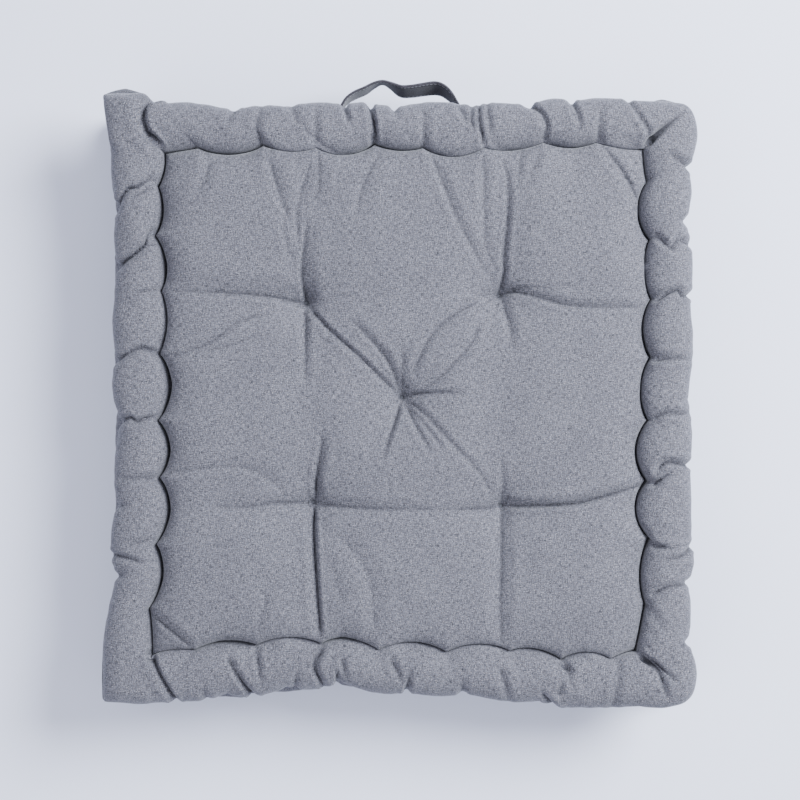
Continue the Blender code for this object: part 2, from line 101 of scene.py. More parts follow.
# ---- the cushion's own lines
# The inner edge of the roll along each side: place along the side, distance out from the
# middle where a stitch pinches it, and how far it swells inwards before the next stitch.
INNER = {
    "left": [(-219, 211, 1), (-178, 214, 8), (-124, 209, 10), (-67, 206, 9),
             (-18, 207, 9), (39, 205, 6), (93, 204, 6), (141, 209, 5), (183, 207, 3),
             (212, 202, 0)],
    "right": [(-216, 204, 0), (-175, 212, 6), (-119, 216, 11), (-70, 214, 10), (-18, 215, 8),
              (36, 217, 7), (86, 217, 6), (137, 216, 9), (186, 213, 1), (215, 210, 0)],
    "top": [(-202, 212, 0), (-171, 216, 6), (-116, 218, 5), (-70, 215, 8), (-21, 220, 4),
            (21, 216, 8), (73, 215, 4), (124, 220, 4), (169, 220, 3), (210, 215, 0)],
    "bottom": [(-211, 219, 3), (-174, 214, 5), (-121, 210, 7), (-66, 209, 7), (-17, 214, 8),
               (41, 216, 7), (95, 215, 6), (139, 223, 7), (181, 222, 1), (204, 216, 0)],
}
# The outline, the same way: a notch where a pleat runs over the edge, and the swell after it.
OUTER = {
    "left": [(-259, 254, 1), (-206, 253, 1), (-151, 242, 5), (-91, 241, 4), (-18, 238, 5),
             (34, 242, 4), (115, 240, 3.5), (163, 241, 2), (214, 246, 0), (261, 254, 0)],
    "right": [(-259, 250, 7), (-208, 247, 4), (-157, 247, 4), (-126, 251, 1), (-56, 249, 3),
              (0, 248, 3), (88, 250, 4), (152, 246, 4), (199, 248, 7), (254, 250, 0)],
    "top": [(-254, 261, 1), (-234, 267, 1), (-198, 254, 3), (-143, 248, 3), (-98, 250, 3.5),
            (-46, 252, 2.5), (-22, 252, 2), (-4, 250, 4), (61, 252, 2.5), (111, 252, 4),
            (148, 255, 3), (197, 256, 1), (250, 254, 0)],
    "bottom": [(-254, 259, 2), (-186, 258, 3), (-147, 251, 6), (-96, 246, 5), (-49, 241, 6),
               (8, 250, 4), (57, 251, 4), (121, 258, 0), (132, 264, 1), (207, 263, 3),
               (250, 259, 0)],
}
GAP = {"left": 2.3, "right": 2.2, "top": 1.6, "bottom": 1.2}  # widest, between roll and panel
# How open that gap is: place along the side, and the share of its full width
OPEN = {
    "left": [(-202, 0.5), (-179, 0.5), (-153, 1), (-124, 0.5), (-96, 0.9), (-67, 0.45), (-44, 0.85),
             (-16, 0.45), (13, 1.2), (41, 0.3), (70, 0.4), (96, 0.45), (116, 1), (141, 0.45),
             (156, 0.9), (190, 0.65), (222, 0.5)],
    "right": [(-210, 0.7), (-179, 0.9), (-153, 0.7), (-122, 0.9), (-96, 0.6), (-70, 1), (-44, 0.8),
              (-16, 0.7), (10, 0.45), (39, 0.8), (61, 0.7), (90, 0.5), (113, 0.2), (142, 0.8),
              (162, 0.45), (190, 0.5), (222, 0.6)],
    "top": [(-202, 0.75), (-173, 0.45), (-147, 0.9), (-121, 0.5), (-104, 0.1), (-73, 0.05),
            (-47, 0.3), (-24, 0.6), (-1, 0.5), (22, 0.35), (44, 0.25), (70, 0.05), (96, 0.35),
            (122, 0.2), (150, 0.5), (182, 0.1), (207, 0.25)],
    "bottom": [(-210, 0.2), (-182, 0.15), (-153, 0.6), (-124, 0.3), (-96, 0.05), (-70, 0.2),
               (-50, 0.55), (-33, 0.2), (-7, 0.05), (19, 0.25), (38, 0.2), (67, 0.1), (96, 0.2),
               (118, 0.25), (136, 0.4), (161, 0.1), (181, 0.2), (204, 0.6)],
}
SIDES = ("top", "right", "bottom", "left")  # clockwise
SIDE_NODES = {"top": "back", "right": "right", "bottom": "front", "left": "left"}

# Tufts: place, how deep the tie pulls, and how far the dimple spreads
TUFTS = [
    ((3, 2), 22, 12),
    ((-79, 83), 23, 12),
    ((86, 89), 23, 12),
    ((-73, -88), 22, 12),
    ((88, -91), 22, 12),
]

# Wide valleys between two tufts, and from a tuft to the edge: depth, half width, from, to
_, TL, TR, BL, BR = (place for place, _, _ in TUFTS)
VALLEYS = [(2.2, 20, *ends) for ends in ((TL, TR), (BL, BR), (TL, BL), (TR, BR))]
VALLEYS += [
    (2.6, 18, tuft, end)
    for tuft, ends in (
        (TL, [(-200, 93), (-77, 210)]),
        (TR, [(90, 212), (212, 80)]),
        (BL, [(-66, -208), (-200, -92)]),
        (BR, [(88, -212), (212, -74)]),
    )
    for end in ends
]
# How far each corner of the outline is rounded, in points of the grid, clockwise from TL
CORNERS = (3, 9, 9, 4)

# Folds pressed into the filled panel: depth at the start and at the end, the widths of the
# flanks left and right of the line, and the line.
PANEL_FOLDS = [
    # up from TL
    (7, 2, 2.2, 7, [(-79, 82), (-82, 104), (-81, 123), (-79, 142), (-77, 154)]),
    (1.6, 1.6, 4, 5, [(-84, 127), (-86, 153), (-85, 167), (-79, 188), (-74, 204)]),
    (1, 0.6, 3, 4, [(-91, 117), (-96, 140), (-97, 165)]),
    (1.4, 3.2, 4, 6, [(-90, 147), (-100, 172), (-110, 205)]),
    # from the top roll, and across two corners
    (0.8, 2.6, 5, 7, [(-37, 152), (-30, 182), (-13, 214)]),
    (2.6, 0.6, 5, 6, [(-68, 216), (-67, 190), (-71, 165)]),
    (2.2, 0.8, 5, 5, [(-160, 207), (-163, 190), (-172, 172)]),
    (4.5, 5, 4.5, 2, [(-211, -183), (-193, -197), (-174, -213)]),
    # left of TL
    (6, 1.6, 3, 9, [(-81, 82), (-96, 86), (-116, 89), (-142, 91), (-167, 92), (-201, 93)]),
    (1.2, 2.4, 5, 7, [(-111, 74), (-138, 65), (-156, 51), (-178, 41), (-203, 37)]),
    (0.8, 1.4, 6, 6, [(-116, 56), (-142, 46), (-172, 40)]),
    # from TL to C, and down from TL
    (3.4, 2.2, 1.6, 3, [(-77, 80), (-59, 60), (-40, 43), (-24, 28), (-12, 16), (-1, 5)]),
    (1.5, 4.2, 3.6, 1.8, [(-42, 70), (-27, 54), (-14, 40), (-5, 25), (1, 7)]),
    (4, 0.8, 3, 4, [(-80, 79), (-79, 63), (-79, 40), (-79, 12)]),
    # C, to the right
    (4.6, 1.2, 2.2, 4, [(6, 3), (17, 5), (30, 6), (54, 6)]),
    (3, 0.6, 4, 4, [(3, 6), (3, 23), (4, 46)]),
    (1.8, 2, 4, 3, [(11, 21), (19, 38), (30, 57), (52, 75), (68, 83)]),
    (1.6, 1.5, 4, 3, [(17, 6), (40, 23), (62, 49), (69, 66)]),
    # round TR and its corner
    (3, 0.6, 4, 4, [(84, 90), (74, 89), (61, 89)]),
    (2.2, 0.4, 3, 4, [(106, 215), (103, 196), (101, 180)]),
    (1.8, 0.4, 3, 4, [(123, 213), (114, 195), (109, 182)]),
    (4.2, 1.2, 2.4, 2.6, [(86, 91), (90, 108), (90, 123), (93, 159), (93, 185), (88, 210)]),
    (1.2, 2, 4, 4, [(82, 112), (74, 131), (73, 150), (73, 196), (72, 213)]),
    (1.4, 2.8, 3, 5, [(76, 106), (62, 130), (47, 160), (36, 189), (28, 211)]),
    (5, 1.8, 4, 2.6, [(87, 90), (99, 92), (117, 88), (141, 81), (169, 79), (209, 79)]),
    (3, 0.8, 3, 4, [(88, 93), (113, 96), (132, 94)]),
    (4, 0.8, 4, 3.5, [(88, 85), (95, 62), (96, 42)]),
    (3.4, 5, 3, 5, [(174, 217), (191, 194), (206, 168)]),
    # C, down to the left
    (4.8, 1.2, 2, 3, [(2, -2), (-2, -17), (-7, -31), (-14, -52)]),
    # round BL
    (6, 1.6, 2.4, 4, [(-71, -85), (-70, -66), (-66, -42), (-65, -28)]),
    (7, 4.5, 2.2, 4.5, [(-72, -91), (-72, -113), (-70, -149), (-68, -177), (-66, -204)]),
    (4.5, 1, 4, 5, [(-75, -88), (-105, -88), (-127, -91), (-160, -92)]),
    (1, 1.6, 4, 6, [(-92, -83), (-103, -74), (-114, -65), (-130, -58), (-156, -57), (-198, -62)]),
    (4, 1.2, 5, 6, [(-70, -90), (-50, -91), (-16, -93), (35, -93)]),
    (0.8, 1.6, 8, 6, [(-53, -113), (-33, -135), (-23, -159), (-20, -196)]),
    (0.5, 0.8, 5, 5, [(-58, -136), (-51, -159), (-48, -175)]),
    (0.5, 1.4, 6, 5, [(-112, -158), (-114, -175), (-119, -199)]),
    # C, down to the right
    (4, 1.2, 2.6, 2.6, [(5, -2), (16, -24), (28, -45)]),
    (2.6, 1, 2.6, 2.6, [(5, 0), (21, -11), (45, -37), (65, -57), (80, -80)]),
    (2.5, 0.8, 3, 3, [(7, -4), (22, -21), (37, -41)]),
    # round BR
    (7, 3.5, 4.5, 2.2, [(91, -91), (113, -91), (145, -89), (169, -84), (210, -72)]),
    (1.8, 0.5, 3, 3, [(88, -88), (89, -75), (88, -48)]),
    (4, 2.2, 6, 7, [(88, -94), (88, -124), (87, -170), (88, -211)]),
    (4, 1.4, 5, 5, [(85, -92), (69, -93), (35, -94)]),
]
# Pleats across the rolls, where the stitching gathers the cloth, the same way
ROLL_PLEATS = [
    # left roll
    (4.5, 5.5, 1.4, 5, [(-202, 258), (-212, 254), (-217, 243), (-214, 230), (-204, 219)]),
    (3, 3, 2, 3.5, [(-243, 163), (-236, 174), (-230, 180), (-223, 181), (-211, 188)]),
    (1.2, 2.4, 2.5, 2.5, [(-229, 171), (-219, 175), (-211, 181)]),
    (4.2, 4.5, 1.6, 4, [(-241, 114), (-221, 127), (-214, 133), (-211, 142)]),
    (1.2, 2, 2.5, 3, [(-224, 91), (-207, 94)]),
    (2.6, 3, 2, 3.5, [(-242, 33), (-230, 40), (-219, 44), (-207, 41)]),
    (3.2, 3, 1.8, 3, [(-240, -19), (-229, -15), (-224, -18), (-209, -15)]),
    (1, 2, 3, 3, [(-239, -67), (-209, -67)]),
    (1.5, 0.6, 3, 3, [(-244, -91), (-230, -90)]),
    (3, 1.8, 2, 3, [(-248, -132), (-236, -134), (-218, -138)]),
    (0.8, 2.2, 3, 3, [(-230, -124), (-212, -120)]),
    (2.4, 0.8, 2.5, 2.5, [(-243, -151), (-234, -149)]),
    (5, 3.6, 1.8, 3, [(-211, -216), (-201, -238), (-189, -259)]),
    # top roll
    (2, 1.2, 2, 3, [(-139, 249), (-145, 235)]),
    (1.2, 1.8, 3, 3, [(-117, 250), (-121, 232), (-118, 220)]),
    (1.6, 1, 3, 3, [(-91, 251), (-87, 236)]),
    (1, 1, 3, 3, [(-70, 247), (-70, 217)]),
    (3.2, 1, 1.8, 2.6, [(-46, 253), (-42, 235)]),
    (4.5, 5, 1.5, 3, [(-24, 255), (-21, 237), (-20, 221)]),
    (2.4, 0.8, 2.5, 2.5, [(-4, 251), (-1, 242)]),
    (0.8, 1.4, 3, 3, [(21, 247), (22, 219)]),
    (2, 1, 2.5, 3, [(52, 251), (60, 234)]),
    (2.6, 1.6, 1.8, 2.2, [(64, 253), (62, 239), (65, 229)]),
    (2.6, 3, 1.8, 2.2, [(69, 253), (69, 236), (73, 217)]),
    (2, 1.2, 2, 2.5, [(76, 252), (78, 230)]),
    (3, 1.6, 1.8, 4, [(111, 254), (122, 245), (127, 232), (124, 221)]),
    (3, 1, 2, 3, [(148, 257), (153, 243), (155, 231)]),
    (1, 2, 3, 3, [(172, 248), (171, 221)]),
    (1.8, 2, 1.8, 2.4, [(196, 257), (205, 243), (213, 228), (214, 219)]),
    (0.8, 5.5, 1.8, 2.4, [(243, 245), (226, 231), (212, 217)]),
    # right roll
    (3.8, 1.6, 1.6, 2.6, [(250, 197), (230, 210)]),
    (2, 1, 2.5, 3, [(248, 152), (238, 156)]),
    (2, 3.2, 2.2, 3, [(253, 131), (238, 136), (232, 129), (220, 138)]),
    (3.6, 4, 1.8, 3, [(253, 89), (242, 88), (239, 93), (230, 91), (220, 85)]),
    (1.4, 3, 2.5, 3, [(248, 34), (235, 35), (219, 34)]),
    (1.6, 3.2, 2.2, 3, [(248, -12), (234, -12), (226, -12), (218, -16)]),
    (4, 3.2, 1.6, 3, [(250, -57), (235, -54), (226, -54), (221, -60)]),
    (2, 4.2, 2.2, 3, [(231, -63), (218, -72)]),
    (3.2, 1.6, 1.8, 2.6, [(253, -125), (241, -134), (227, -136)]),
    (1, 3.2, 2.5, 2.5, [(235, -127), (217, -125)]),
    (2.6, 3, 2, 3, [(248, -157), (228, -160), (216, -166)]),
    (2.4, 1, 2.5, 3, [(249, -208), (238, -211)]),
    (1.6, 4.5, 2, 2.6, [(229, -254), (226, -244), (221, -231), (206, -219)]),
    (1.4, 3.5, 1.8, 2.2, [(235, -239), (215, -222)]),
    # bottom roll
    (4.2, 3.6, 1.6, 3.2, [(-124, -256), (-136, -238), (-145, -220)]),
    (1.2, 2.6, 2.2, 2.6, [(-117, -241), (-121, -215)]),
    (3.6, 3.6, 1.6, 3, [(-65, -245), (-72, -227), (-66, -212)]),
    (2, 1, 2.6, 3, [(-89, -250), (-87, -234)]),
    (3.6, 1.6, 1.8, 2.2, [(-52, -243), (-52, -230)]),
    (1.2, 2.4, 2, 2.4, [(-45, -237), (-48, -221)]),
    (1.2, 3, 2.2, 2.6, [(3, -241), (-6, -221)]),
    (3.4, 1.4, 1.8, 2.4, [(6, -253), (10, -231)]),
    (1.2, 3.4, 2.2, 2.6, [(147, -244), (145, -230), (139, -225)]),
    (2.4, 1.2, 2.2, 2.6, [(136, -252), (141, -239)]),
    (4.5, 1.6, 1.8, 3, [(134, -267), (122, -251)]),
    (1.8, 0.8, 2.6, 3, [(54, -254), (55, -241)]),
    (1.4, 1.4, 3, 3, [(183, -261), (187, -241), (188, -225)]),
    (1.6, 0.8, 3, 3, [(-162, -262), (-167, -245)]),
    (1, 1.8, 3, 3, [(94, -256), (87, -230)]),
]


# ---- lines and folds
# What multiplies the lists' depths and widths, and the share of the depth left at a line's ends
FOLD_SCALE = (1.3, 0.75, 0.2)
PLEAT_SCALE = (1.6, 0.85, 0.55)
END_RUN = 11.0  # length over which a line reaches its full depth
NARROWEST = 1.5  # flank of the sharpest fold that the grid can show
RIDGE = 0.2  # height of the ridge beside a fold, as a share of the fold's depth
PAINTED_SHADE_WIDTH = 1.3  # half width of the shade painted into the colour inside a fold
PAINTED_SHADE_DEPTH = 7.0  # depth from which that painted shade is darkest
TIE_SHADE = 2.1  # radius of the shade painted into the colour round a tie
BROAD_DIP, BROAD_SPREAD = 2.0, 46  # of the wide hollow round each tuft
PANEL_BUMPS = [(1.1, 44), (0.5, 19), (0.18, 7)]  # the filling's unevenness: height and size
ROLL_BUMPS = [(0.7, 20), (0.3, 8)]


def unit(values):
    """Values held between 0 and 1."""
    return np.clip(values, 0, 1)


def bell(values):
    """1 at 0, and falling off smoothly to 0 on both sides."""
    return np.exp(-(values**2))


def phase(points, along):
    """The stitch before each place along a side, and how far it is to the next one, 0 to 1."""
    place = np.array([point[0] for point in points], float)
    k = np.clip(np.searchsorted(place, along, side="right") - 1, 0, len(place) - 2)
    return k, unit((along - place[k]) / (place[k + 1] - place[k]))


def edge_line(points, along, swell_sign):
    """Distance out at places along one side, swelling between the points."""
    _, out, swell = (np.array(v, float) for v in zip(*points))
    k, t = phase(points, along)
    straight = out[k] + (out[k + 1] - out[k]) * t
    return straight + swell_sign * swell[k] * np.sin(np.pi * t) ** 0.75


def on_side(side, along, out):
    """(x, y) of a place along a side at a distance out from the middle."""
    x, y = {
        "top": (along, out),
        "right": (out, along),
        "bottom": (along, -out),
        "left": (-out, along),
    }[side]
    return np.stack([x, y], -1)


def smooth_line(points, step=4.0):
    """A Catmull-Rom curve through the points."""
    pts = np.array(points, float)
    pts = np.vstack([2 * pts[0] - pts[1], pts, 2 * pts[-1] - pts[-2]])
    line = []
    for a, b, c, d in zip(pts, pts[1:], pts[2:], pts[3:]):
        count = max(2, int(math.dist(b[:2], c[:2]) / step))
        for t in np.arange(count) / count:
            bend = (c - a) * t + (2 * a - 5 * b + 4 * c - d) * t**2
            line.append(b + (bend + (3 * b - a - 3 * c + d) * t**3) / 2)
    line.append(pts[-2])
    return np.array(line)


def press(xy, folds, scale):
    """How deep the folds press the cloth at each (x, y), with a ridge beside each, in mm.

    Also returns the shade painted into the colour inside each fold, from 0 to 1, by how closed the cloth
    is there.
    """
    depth_scale, width_scale, end_share = scale
    groove, ridge, painted_shade = np.zeros((3, len(xy)))
    for start, end, left, right, points in folds:
        line = smooth_line(points)
        reach = 4.5 * max(left, right)
        near = np.all((xy > line.min(0) - reach) & (xy < line.max(0) + reach), axis=1)
        index = np.nonzero(near)[0]
        if not len(index):
            continue
        spot = xy[index]
        best = np.full(len(index), 1e9)
        turn, share = np.zeros((2, len(index)))
        lengths = np.hypot(*(line[1:] - line[:-1]).T)
        total, run = lengths.sum(), 0.0
        for a, b, length in zip(line, line[1:], lengths):
            along = (b - a) / max(length, 1e-6)
            t = np.clip((spot - a) @ along, 0, length)
            away = spot - a - t[:, None] * along
            gap = np.hypot(away[:, 0], away[:, 1])
            closer = gap < best
            best[closer] = gap[closer]
            across = (along[0] * away[:, 1] - along[1] * away[:, 0]) / (gap + 1e-6)
            turn[closer] = across[closer]
            share[closer] = ((run + t) / total)[closer]
            run += length
        width = (right + (left - right) * (0.5 + 0.5 * turn)) * width_scale
        width = np.maximum(width, NARROWEST)
        ends = unit(np.minimum(share, 1 - share) * total / END_RUN + end_share)
        size = (start + (end - start) * share) * ends
        size = depth_scale * size * (1 + 0.9 * np.exp(-size / 2))
        deep = size * np.exp(-(((best + 0.25) / width) ** 0.9))
        tall = size * RIDGE * bell((best / width - 2.5) / 1.2)
        groove[index] = np.maximum(groove[index], deep) + 0.35 * np.minimum(groove[index], deep)
        ridge[index] = np.maximum(ridge[index], tall)
        # painted shade: darkens the colour along the line of a deep fold
        dark = unit(size / PAINTED_SHADE_DEPTH) * bell(best / PAINTED_SHADE_WIDTH)
        painted_shade[index] = np.maximum(painted_shade[index], dark)
    return groove - ridge, painted_shade


def gathers(seed, count=7):
    """Little folds drawn in round each tuft."""
    rng = np.random.default_rng(seed)
    folds = []
    for (x, y), _, _ in TUFTS:
        for k in range(count):
            angle = (k + rng.uniform(-0.3, 0.3)) * 2 * math.pi / count
            c, s, reach = math.cos(angle), math.sin(angle), rng.uniform(9, 18)
            line = [(x + 1.5 * c, y + 1.5 * s), (x + reach * c, y + reach * s)]
            folds.append((1.7, 0.2, 2, 2, line))
    return folds


def noise(p, q, cell, seed):
    """Smooth seeded noise from -1 to 1 over two cloth coordinates in millimetres."""
    values = np.random.default_rng(seed).uniform(-1, 1, (64, 64))
    p, q = p / cell + 17.3, q / cell + 31.7
    i, j = np.floor(p).astype(int), np.floor(q).astype(int)
    s, t = p - i, q - j
    s, t = s * s * (3 - 2 * s), t * t * (3 - 2 * t)
    a, b = values[i % 64, j % 64], values[(i + 1) % 64, j % 64]
    c, d = values[i % 64, (j + 1) % 64], values[(i + 1) % 64, (j + 1) % 64]
    return (a * (1 - s) + b * s) * (1 - t) + (c * (1 - s) + d * s) * t


def uneven(p, q, bumps, seed):
    """Noise of several sizes: bumps are the height and the cell of each."""
    return sum(tall * noise(p, q, cell, seed + k) for k, (tall, cell) in enumerate(bumps))


# ---- the cover's skin
def shares(span):
    """Places from 0 to 1 across a panel, close together beside its edges."""
    edge = np.array([0, 0.35, 1.0, 1.9, 3.0])
    start = 4.3
    inner = np.linspace(start, span - start, int((span - 2 * start) / STEP) + 1)
    return np.concatenate([edge, inner, span - edge[::-1]]) / span


def round_corners(line, corners):
    """A closed line, smoothed near its corners over so many of its points."""
    smooth = line.copy()
    count = len(line)
    for corner, span in zip(corners, CORNERS):
        for offset in range(-2 * span, 2 * span + 1):
            k = (corner + offset) % count
            window = np.arange(k - span, k + span + 1) % count
            weight = 0.5 + 0.5 * math.cos(math.pi * offset / (2 * span + 1))
            smooth[k] = line[k] * (1 - weight) + line[window].mean(0) * weight
    return smooth


def evened(values, span=14):
    """A closed line's values, averaged over so many points to each side."""
    window = np.ones(2 * span + 1) / (2 * span + 1)
    wrapped = np.concatenate([values[-span:], values, values[:span]])
    if values.ndim == 1:
        return np.convolve(wrapped, window, "valid")
    return np.stack([np.convolve(part, window, "valid") for part in wrapped.T], -1)


def ring_lines(inner, outer):
    """The roll's inner edge and outline, column by column, clockwise from the top left."""
    across, upwards = (shares(span) for span in PANEL)
    parts = []
    for k, side in enumerate(SIDES):
        share = across if side in ("top", "bottom") else upwards
        share = (share[::-1] if side in ("right", "bottom") else share)[:-1]
        place_in, place_out = (
            lists[side][0][0] + share * (lists[side][-1][0] - lists[side][0][0])
            for lists in (inner, outer)
        )
        swell = np.sin(np.pi * phase(inner[side], place_in)[1]) ** 0.6
        wall = [h - INSET for h in (HALF if side in ("top", "bottom") else HALF[::-1])]
        open_share = np.interp(place_in, *zip(*OPEN[side]))
        parts.append(
            dict(
                edge=on_side(side, place_in, edge_line(inner[side], place_in, -1)),
                rim=on_side(side, place_out, edge_line(outer[side], place_out, 1)),
                wall=on_side(side, wall[0] * (2 * share - 1), np.full(len(share), wall[1])),
                outward=np.tile(on_side(side, 0.0, 1.0), (len(share), 1)),
                free=room(side, place_in),
                gap=GAP[side] * np.maximum(open_share, CLOSED),
                trough=SHALLOW - (SHALLOW - TROUGH) * np.minimum(open_share / DEEP_FROM, 1),
                plump=0.91 + 0.09 * swell,
                side=np.full(len(share), k),
            )
        )
    ring = {key: np.concatenate([part[key] for part in parts]) for key in parts[0]}
    corners = np.cumsum([0] + [len(part["side"]) for part in parts[:-1]])
    ring["rim"] = round_corners(ring["rim"], corners)
    ring["corners"] = corners
    return ring


def room(side, along):
    """How free the wall is to swell, from 0 to 1: not at its ends, nor behind the handle."""
    ends = unit((PANEL[1] / 2 - np.abs(along)) / 60)
    behind = unit((np.abs(along) - 90) / 50) if side == "top" else 1
    return ends**0.5 * behind


def outwards(lines):
    """Unit directions from the roll's inner edge to its outline."""
    out = lines["rim"] - lines["edge"]
    return out / np.hypot(out[:, 0], out[:, 1])[:, None]


def roll_rows(lines, sign):
    """The roll's rows of points from the trough over its crest to the outermost seam.

    sign is 1 for the upper roll and -1 for the lower one.
    """
    out = outwards(lines)
    gap = lines["gap"][:, None]
    edge, rim, plump = (evened(lines[key]) for key in ("edge", "rim", "plump"))
    corner = np.min([np.abs(lines["edge"] - lines["edge"][k]).sum(1) for k in lines["corners"]], 0)
    own = bell(corner / TRIM_REACH)  # near a corner the lines keep their own shape
    edge = edge * (1 - own[:, None]) + lines["edge"] * own[:, None]
    rim = rim * (1 - own[:, None]) + lines["rim"] * own[:, None]
    foot = np.maximum(SEAM_Z, lines["trough"])
    rows = []
    for away, share in ((-0.5, 0.0), (-0.1, 0.4), (0.3, 0.75)):  # up the side of the gap
        xy = lines["edge"] + out * gap * away
        rows.append(np.column_stack([xy, lines["trough"] * (1 - share) + foot * share]))
    for angle in np.linspace(np.pi, 0, ROLL_ROWS):
        share = (1 + math.cos(angle)) / 2
        xy = edge * (1 - share) + rim * share
        xy = xy + (lines["edge"] - edge) * (1 - share) ** 2 + (lines["rim"] - rim) * share**3
        full = plump + (lines["plump"] - plump) * (1 - share) ** 1.2
        height = SEAM_Z + ROLL_RISE * math.sin(angle) ** ROUNDNESS * full
        if angle > np.pi / 2:
            height = np.maximum(height, foot + 0.4 * (height - SEAM_Z))
        rows.append(np.column_stack([xy, height]))
    rows = np.stack(rows, 1)
    if sign < 0:
        rows[..., 2] = HEIGHT - rows[..., 2]
    return rows


def band_rows(upper, lower):
    """The side bands' rows, from under the upper seam to just above the lower one."""
    turn = np.linspace(0, NECK_TURN, NECK_ROWS)[1:]
    inset = (1 - np.cos(turn)) / (1 - math.cos(NECK_TURN))
    drop = ROLL_RISE * np.sin(turn)
    rows = []
    for share, fall in zip(inset, drop):
        xy = upper["rim"] * (1 - share) + upper["wall"] * share
        rows.append(np.column_stack([xy, np.full(len(xy), SEAM_Z - fall)]))
    for z in np.linspace(SEAM_Z - drop[-1], HEIGHT - SEAM_Z + drop[-1], WALL_ROWS)[1:-1]:
        height = (z - HEIGHT / 2) / (SEAM_Z - drop[-1] - HEIGHT / 2)
        bulge = WALL_SWELL * (1 - height**2) * upper["free"][:, None]
        wall = upper["wall"] + upper["outward"] * bulge
        rows.append(np.column_stack([wall, np.full(len(wall), z)]))
    for share, fall in zip(inset[::-1], drop[::-1]):
        xy = lower["rim"] * (1 - share) + lower["wall"] * share
        rows.append(np.column_stack([xy, np.full(len(xy), HEIGHT - SEAM_Z + fall)]))
    return np.stack(rows, 1)


def ring_normals(grid):
    """Unit normals of the closed grid round the edge, pointing out of the cushion."""
    along = np.gradient(np.concatenate([grid[-1:], grid, grid[:1]]), axis=0)[1:-1]
    normal = np.cross(np.gradient(grid, axis=1), along)
    normal = normal / (np.linalg.norm(normal, axis=-1, keepdims=True) + 1e-9)
    return normal if normal[:, ROLL_ROWS // 2, 2].mean() > 0 else -normal


def end_blocks(grid, sign):
    """Carries the left roll on over the ends of the top and bottom rolls, as square ends.

    Only the roll's height changes. sign is 1 for the upper roll and -1 for the lower one, which
    is a mirror image, so that its roll with square ends is the right one.
    """
    level = (grid[..., 2] - HEIGHT / 2) * sign - (SEAM_Z - HEIGHT / 2)
    across = (grid[..., 0] * sign - BLOCK_LEFT) / ROLL
    arch = np.sqrt(1 - (1 - 2 * np.clip(across, 0, 0.5)) ** 2) ** ROUNDNESS
    for end, turn in ((BLOCK_BACK, 1), (BLOCK_FRONT, -1)):
        inwards = (end - grid[..., 1]) * turn / ROLL
        block = ROLL_RISE * BLOCK_FULL * arch * shoulder(unit(inwards) * ROLL, BLOCK_EDGE, 0.5)
        share = unit((1.3 - inwards) / 0.3) * unit((1.04 - across) / 0.08) * (level > -1)
        level = level * (1 - share) + block * share
    raised = HEIGHT / 2 + sign * (SEAM_Z - HEIGHT / 2 + level)
    grid[..., 2] = np.where(level > -1, raised, grid[..., 2])
    return grid


def ring_cloth(grid, side, arc):
    """Cloth coordinates of the ring: along the edge, and on from the panel across it."""
    turned = (side % 2 == 1)[:, None]
    reach = np.where(side < 2, 1, -1)[:, None] * (PANEL[1] / 2 + arc[None])
    along = np.where(turned, grid[..., 1], grid[..., 0])
    return np.stack([np.where(turned, reach, along), np.where(turned, along, reach)], -1)


def wall_creases(turn, arc, seed):
    """Upright creases in the wall, at a distance round the cushion and across the ring."""
    creases = 1.5 * np.abs(noise(turn, 0.3 * arc, 11, seed + 5)) ** 0.7 - 0.6
    return creases + 0.8 * noise(turn, 0.6 * arc, 26, seed + 6)


def fade(distance, seam):
    """How fully pleats press, from 0 to 1: not in the trough, and less and less past the seam."""
    return unit((distance - 4) / 10) * np.exp(-np.maximum(distance - seam, 0) / 9)


def ring_skin(upper, lower, pleats, low_pleats, seed):
    """All the cloth round the edge, from the upper trough to the lower one, as one grid.

    Returns the points, their cloth coordinates and painted pleat shade, and the rows where the two seams
    lie.
    """
    top, band, bottom = roll_rows(upper, 1), band_rows(upper, lower), roll_rows(lower, -1)[:, ::-1]
    grid = np.concatenate([end_blocks(top, 1), band, end_blocks(bottom, -1)], 1)
    seams = (top.shape[1] - 1, top.shape[1] + band.shape[1])
    middle = grid[len(grid) // 8]
    arc = np.concatenate([[0], np.cumsum(np.linalg.norm(np.diff(middle, axis=0), axis=1))])
    back = arc[-1] - arc
    over, under = arc[seams[0]], back[seams[1]]
    deep, painted_shade = 0.0, 0.0
    for lines, share in ((pleats, fade(arc, over)), (low_pleats, fade(back, under))):
        pressed = press(grid[..., :2].reshape(-1, 2), lines, PLEAT_SCALE)
        pressed, closed = (part.reshape(grid.shape[:2]) for part in pressed)
        deep, painted_shade = deep + pressed * share, painted_shade + closed * share
    turn = np.cumsum(np.hypot(*np.diff(upper["rim"], axis=0, prepend=upper["rim"][:1]).T))[:, None]
    rough = uneven(turn, arc[None], ROLL_BUMPS, seed) * unit(np.minimum(arc, back) / 12)
    between = unit(np.minimum(arc - over, back - under) / 8)
    freedom = 0.35 + 0.65 * upper["free"][:, None]
    rough = rough - wall_creases(turn, arc[None], seed) * between * freedom
    seam = sum(SEAM_SUNK * bell((arc - arc[row]) / SEAM_SPREAD) for row in seams)
    # the third cloth value is the shade painted inside the pleats, which darkens the colour
    cloth = np.concatenate([ring_cloth(grid, upper["side"], arc), painted_shade[..., None] / MM], -1)
    grid = grid + ring_normals(grid) * (rough - deep - seam)[..., None]
    grid[..., 2] = np.maximum(grid[..., 2], 0)
    return grid, cloth, seams


def shoulder(distance, span=42.0, power=0.31):
    """How full a pillow stands at a distance from its edge, from 0 to 1."""
    return (1 - (1 - np.minimum(distance, span) / span) ** 2) ** power


def four_sides(values, corners):
    """A ring's values along its top, right, bottom and left, each rightwards or upwards."""
    a, b, c, d = corners
    left = np.concatenate([values[d:], values[:1]])
    return values[a : b + 1], values[b : c + 1][::-1], values[c : d + 1][::-1], left


